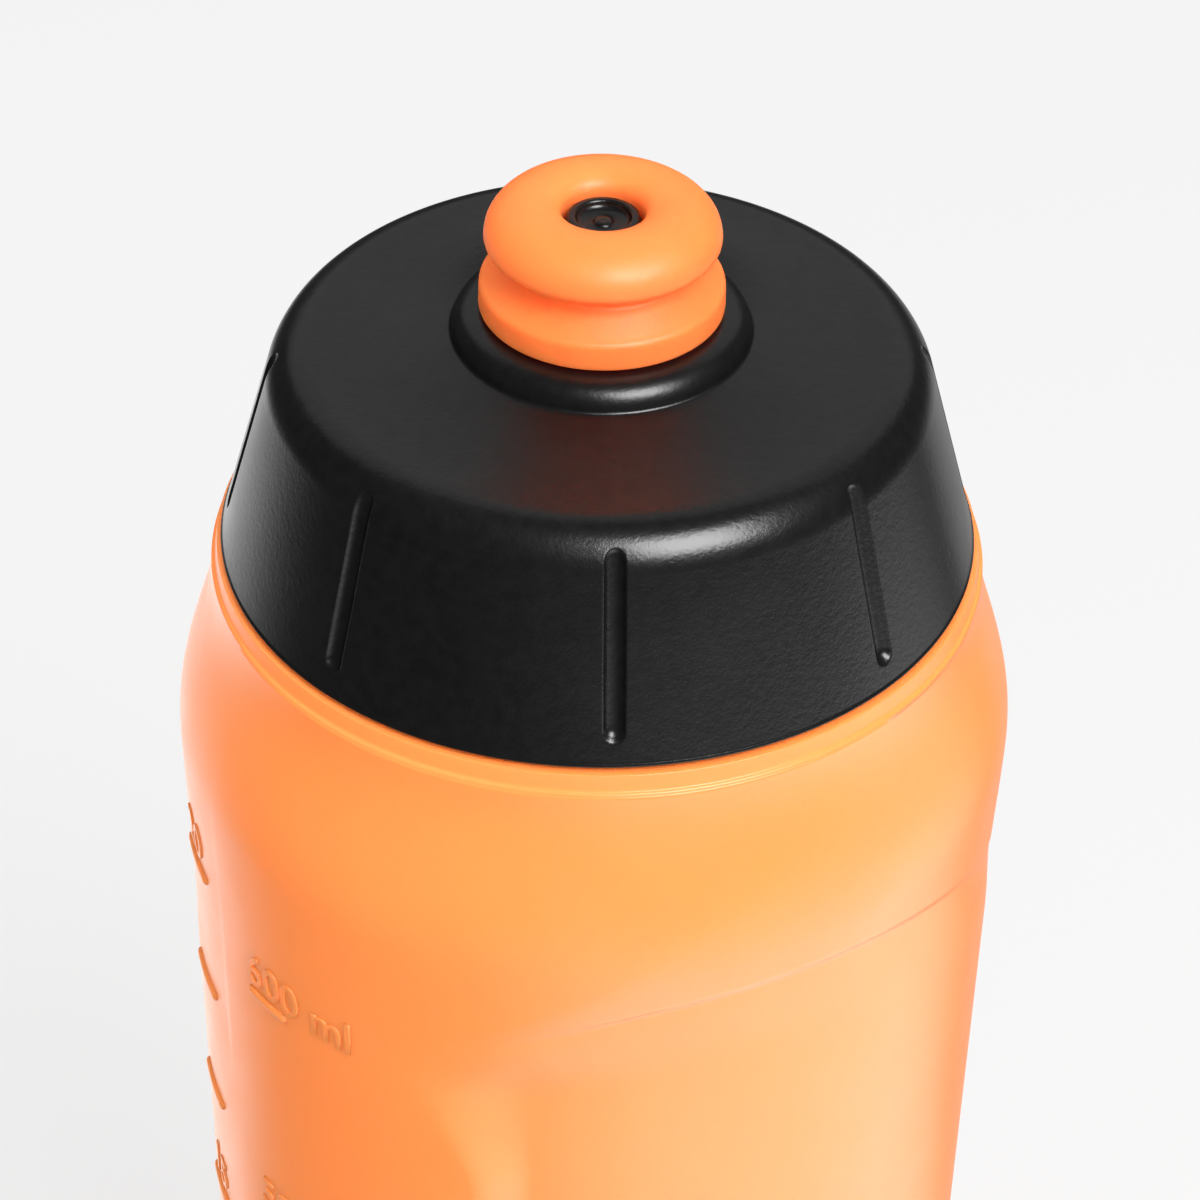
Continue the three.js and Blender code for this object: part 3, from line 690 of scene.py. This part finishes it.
def lid_material():
    """Black polypropylene with a fine spark-eroded grain."""
    material, tree, shader = new_material("lid_polypropylene")
    colour = blend_colours(tree, noise(tree, 900, 4), (0.0035, 0.0035, 0.0035), (0.0055, 0.0055, 0.0055))
    tree.links.new(colour, shader.inputs["Base Color"])
    tree.links.new(remap(tree, noise(tree, 70, 4), 0.26, 0.32), shader.inputs["Roughness"])
    shader.inputs["IOR"].default_value = 1.49
    fine = bump(tree, noise(tree, 3600, 2, 0.6), 0.02, 0.7)
    coarse = bump(tree, noise(tree, 1700, 2, 0.5), 0.035, 0.5, fine)
    tree.links.new(coarse, shader.inputs["Normal"])
    return material


def spout_material():
    """Soft opaque orange polyethylene with a matt grain."""
    material, tree, shader = new_material("spout_polyethylene")
    colour = blend_colours(tree, noise(tree, 60, 3), (1.0, 0.2, 0.045), (1.0, 0.23, 0.055))
    tree.links.new(colour, shader.inputs["Base Color"])
    shader.subsurface_method = "BURLEY"
    shader.inputs["Subsurface Weight"].default_value = 1.0
    shader.inputs["Subsurface Radius"].default_value = (1.0, 0.2, 0.08)
    shader.inputs["Subsurface Scale"].default_value = 3.5 * MM
    tree.links.new(remap(tree, noise(tree, 400, 3), 0.42, 0.52), shader.inputs["Roughness"])
    grain = bump(tree, noise(tree, 4200, 2, 0.6), 0.02, 0.6)
    tree.links.new(grain, shader.inputs["Normal"])
    return material


def seal_material():
    """Off-white soft rubber."""
    material, tree, shader = new_material("seal_rubber")
    colour = blend_colours(tree, noise(tree, 300, 3), (0.6, 0.58, 0.53), (0.7, 0.68, 0.63))
    tree.links.new(colour, shader.inputs["Base Color"])
    tree.links.new(remap(tree, noise(tree, 900, 3), 0.55, 0.7), shader.inputs["Roughness"])
    tree.links.new(bump(tree, noise(tree, 3000, 2), 0.02, 0.4), shader.inputs["Normal"])
    return material


def floor_material():
    """A pale sweep that also glows a little, as a light table does."""
    material, tree, shader = new_material("pale_floor")
    shader.inputs["Base Color"].default_value = (0.2, 0.2, 0.2, 1)
    shader.inputs["Roughness"].default_value = 0.9
    shader.inputs["Specular IOR Level"].default_value = 0.0
    shader.inputs["Emission Color"].default_value = (1, 1, 1, 1)
    shader.inputs["Emission Strength"].default_value = FLOOR_GLOW
    return material


# ---- stage, light and camera ---------------------------------------------------------------------

def build_floor():
    half = 3.0
    mesh = bpy.data.meshes.new("floor")
    corners = [(-half, -half, 0), (half, -half, 0), (half, half, 0), (-half, half, 0)]
    mesh.from_pydata(corners, [], [(0, 1, 2, 3)])
    made = bpy.data.objects.new("floor", mesh)
    bpy.context.scene.collection.objects.link(made)
    made.data.materials.append(floor_material())
    made.visible_glossy = False


def product(tree, first, second):
    node = tree.nodes.new("ShaderNodeMath")
    node.operation = "MULTIPLY"
    tree.links.new(first, node.inputs[0])
    tree.links.new(second, node.inputs[1])
    return node.outputs["Value"]


def share_of_turn(azimuth):
    """An azimuth as the radial gradient texture counts it, from 0 to 1."""
    return azimuth / 360 + 0.25


def card_material(name, inner, outer, span, soft, strength):
    """Light that is full up to the inner radius, fades out at the outer one and at both ends."""
    material = bpy.data.materials.new(name)
    material.use_nodes = True
    tree = material.node_tree
    tree.nodes.clear()
    place = tree.nodes.new("ShaderNodeTexCoord")
    reach = tree.nodes.new("ShaderNodeVectorMath")
    reach.operation = "LENGTH"
    tree.links.new(place.outputs["Object"], reach.inputs[0])
    turn = tree.nodes.new("ShaderNodeTexGradient")
    turn.gradient_type = "RADIAL"
    tree.links.new(place.outputs["Object"], turn.inputs["Vector"])
    (start, end), (soft_start, soft_end) = span, soft
    level = remap(tree, reach.outputs["Value"], strength, 0.0, inner * MM, outer * MM)
    rise = remap(tree, turn.outputs["Fac"], 0.0, 1.0, share_of_turn(start), share_of_turn(start + soft_start))
    fall = remap(tree, turn.outputs["Fac"], 1.0, 0.0, share_of_turn(end - soft_end), share_of_turn(end))
    glow = tree.nodes.new("ShaderNodeEmission")
    tree.links.new(product(tree, level, product(tree, rise, fall)), glow.inputs["Strength"])
    out = tree.nodes.new("ShaderNodeOutputMaterial")
    tree.links.new(glow.outputs["Emission"], out.inputs["Surface"])
    return material


def reflector_card(name, inner, fade, outer, span, soft, strength):
    """A ring sector lying on the floor over this span of azimuths, seen only in reflections."""
    azimuths = np.linspace(*span, 49)
    near, far = circle_points(azimuths, inner, 1.0), circle_points(azimuths, outer, 1.0)
    count = len(azimuths)
    faces = [[i, count + i, count + i + 1, i + 1] for i in range(count - 1)]
    made = new_object(name, np.concatenate([near, far]), faces)
    made.data.materials.append(card_material(name, fade, outer, span, soft, strength))
    made.visible_camera = made.visible_diffuse = made.visible_shadow = False
    made.visible_transmission = made.visible_volume_scatter = False


def aim(made, place, target):
    """Puts an object at place, in metres, with its -Z axis towards target."""
    made.location = place
    made.rotation_euler = (Vector(target) - Vector(place)).to_track_quat("-Z", "Y").to_euler()


def area_light(name, place, target, width, height, power):
    light = bpy.data.lights.new(name, "AREA")
    light.shape = "RECTANGLE"
    light.size, light.size_y = width, height
    light.energy = power
    made = bpy.data.objects.new(name, light)
    bpy.context.scene.collection.objects.link(made)
    aim(made, place, target)
    made.visible_camera = False
    return made


def around(azimuth, elevation, distance):
    """A place, in metres, seen from the lid in this direction."""
    level = distance * math.cos(math.radians(elevation))
    angle = math.radians(azimuth)
    height = LID_Z * MM + distance * math.sin(math.radians(elevation))
    return (level * math.sin(angle), -level * math.cos(angle), height)


def build_world():
    """A pale backdrop for the camera, soft light for matt surfaces and a dark room for gloss."""
    world = bpy.data.worlds.new("studio")
    world.use_nodes = True
    tree = world.node_tree
    soft = tree.nodes["Background"]
    rays = tree.nodes.new("ShaderNodeLightPath")
    shown = soft.outputs["Background"]
    for kind, level in (("Is Glossy Ray", ROOM_LEVEL), ("Is Camera Ray", BACKDROP_LEVEL)):
        seen = tree.nodes.new("ShaderNodeBackground")
        seen.inputs["Color"].default_value = (1, 1, 1, 1)
        seen.inputs["Strength"].default_value = level
        mix = tree.nodes.new("ShaderNodeMixShader")
        tree.links.new(rays.outputs[kind], mix.inputs["Fac"])
        tree.links.new(shown, mix.inputs[1])
        tree.links.new(seen.outputs["Background"], mix.inputs[2])
        shown = mix.outputs["Shader"]
    soft.inputs["Color"].default_value = (1, 1, 1, 1)
    soft.inputs["Strength"].default_value = FILL_LEVEL
    tree.links.new(shown, tree.nodes["World Output"].inputs["Surface"])
    bpy.context.scene.world = world


def build_lights():
    target = (0, 0, LID_Z * MM)
    overhead = area_light("overhead", (0, 0.3, 1.9), (0, 0.3, 0), 2.4, 2.0, 13)
    key = area_light("key_softbox", around(34, 45, 1.0), target, 0.5, 0.5, 10.5)
    overhead.visible_glossy = key.visible_glossy = False
    glint = area_light("key_glint", around(34, 44, 1.0), target, 0.55, 0.55, 16)
    back = area_light("back_glow", around(180, 42, 2.0), target, 3.4, 1.8, 8)
    glint.visible_diffuse = back.visible_diffuse = False
    reflector_card("front_right_card", 45, 300, 880, (-28, 125), (50, 38), 2.75)
    reflector_card("back_left_card", 45, 300, 680, (180, 266), (1, 26), 1.8)
    reflector_card("back_right_card", 45, 600, 1200, (125, 180), (10, 1), 0.6)


def build_camera():
    """The camera stands in front, looks down by PITCH and is rolled a little."""
    lens_mm, pitch, roll = 103.1, 38.55, 1.13
    place = (0.33, -235.7, LID_Z + 179.2)
    data = bpy.data.cameras.new("camera")
    data.lens = lens_mm
    data.sensor_width = 36
    data.clip_start = 0.01
    made = bpy.data.objects.new("camera", data)
    bpy.context.scene.collection.objects.link(made)
    turn = Euler((math.radians(90 - pitch), 0, 0)).to_matrix() @ Matrix.Rotation(math.radians(roll), 3, "Z")
    made.matrix_world = Matrix.Translation(Vector(place) * MM) @ turn.to_4x4()
    bpy.context.scene.camera = made


# ---- assembly ------------------------------------------------------------------------------------


def fit(made, body, material, node=None):
    made.data.materials.clear()
    made.data.materials.append(material)
    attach(made, body)
    if node:
        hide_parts(node)


def build_scale(material):
    """Raised volume scale: millilitres at the front left and fluid ounces at the side."""
    for tick in range(SCALE_TICKS):
        z = SCALE_TOP - tick * SCALE_SPACING
        side_bar = raised_bar(f"side_tick_{tick}", SIDE_TICK_LENGTH, SIDE_TICK_AZIMUTH, z)
        fit(side_bar, "bottle", material)
        if tick % 3 == 0:
            number = str(20 - 5 * tick // 3)
            ounces = raised_text(f"ounces_{tick}", number, OUNCES_SIZE, OUNCES_AZIMUTH, z + OUNCES_ABOVE)
            fit(ounces, "bottle", material)
        if tick % 2 == 0:
            low = z - FRONT_TICK_DROP
            front_bar = raised_bar(f"front_tick_{tick}", FRONT_TICK_LENGTH, FRONT_TICK_AZIMUTH, low)
            fit(front_bar, "bottle", material)
            words = f"{MILLILITRES_TOP - MILLILITRES_STEP * tick} ml"
            above = low + MILLILITRES_ABOVE
            name = f"millilitres_{tick}"
            millilitres = raised_text(name, words, MILLILITRES_SIZE, MILLILITRES_AZIMUTH, above)
            fit(millilitres, "bottle", material)


def build_bottle():
    body, black = body_material(), lid_material()
    fit(build_body(), "bottle", body, "bottle_body")
    build_scale(body)
    fit(build_lid(), "lid", black, "lid")
    fit(build_post(), "lid", black)
    fit(build_spokes(), "lid", black)
    fit(build_seal(), "seal", seal_material(), "seal_ring")
    fit(build_spout(), "spout", spout_material(), "spout")


build_bottle()
build_floor()
build_world()
build_lights()
build_camera()
bpy.context.scene.view_settings.view_transform = "Standard"
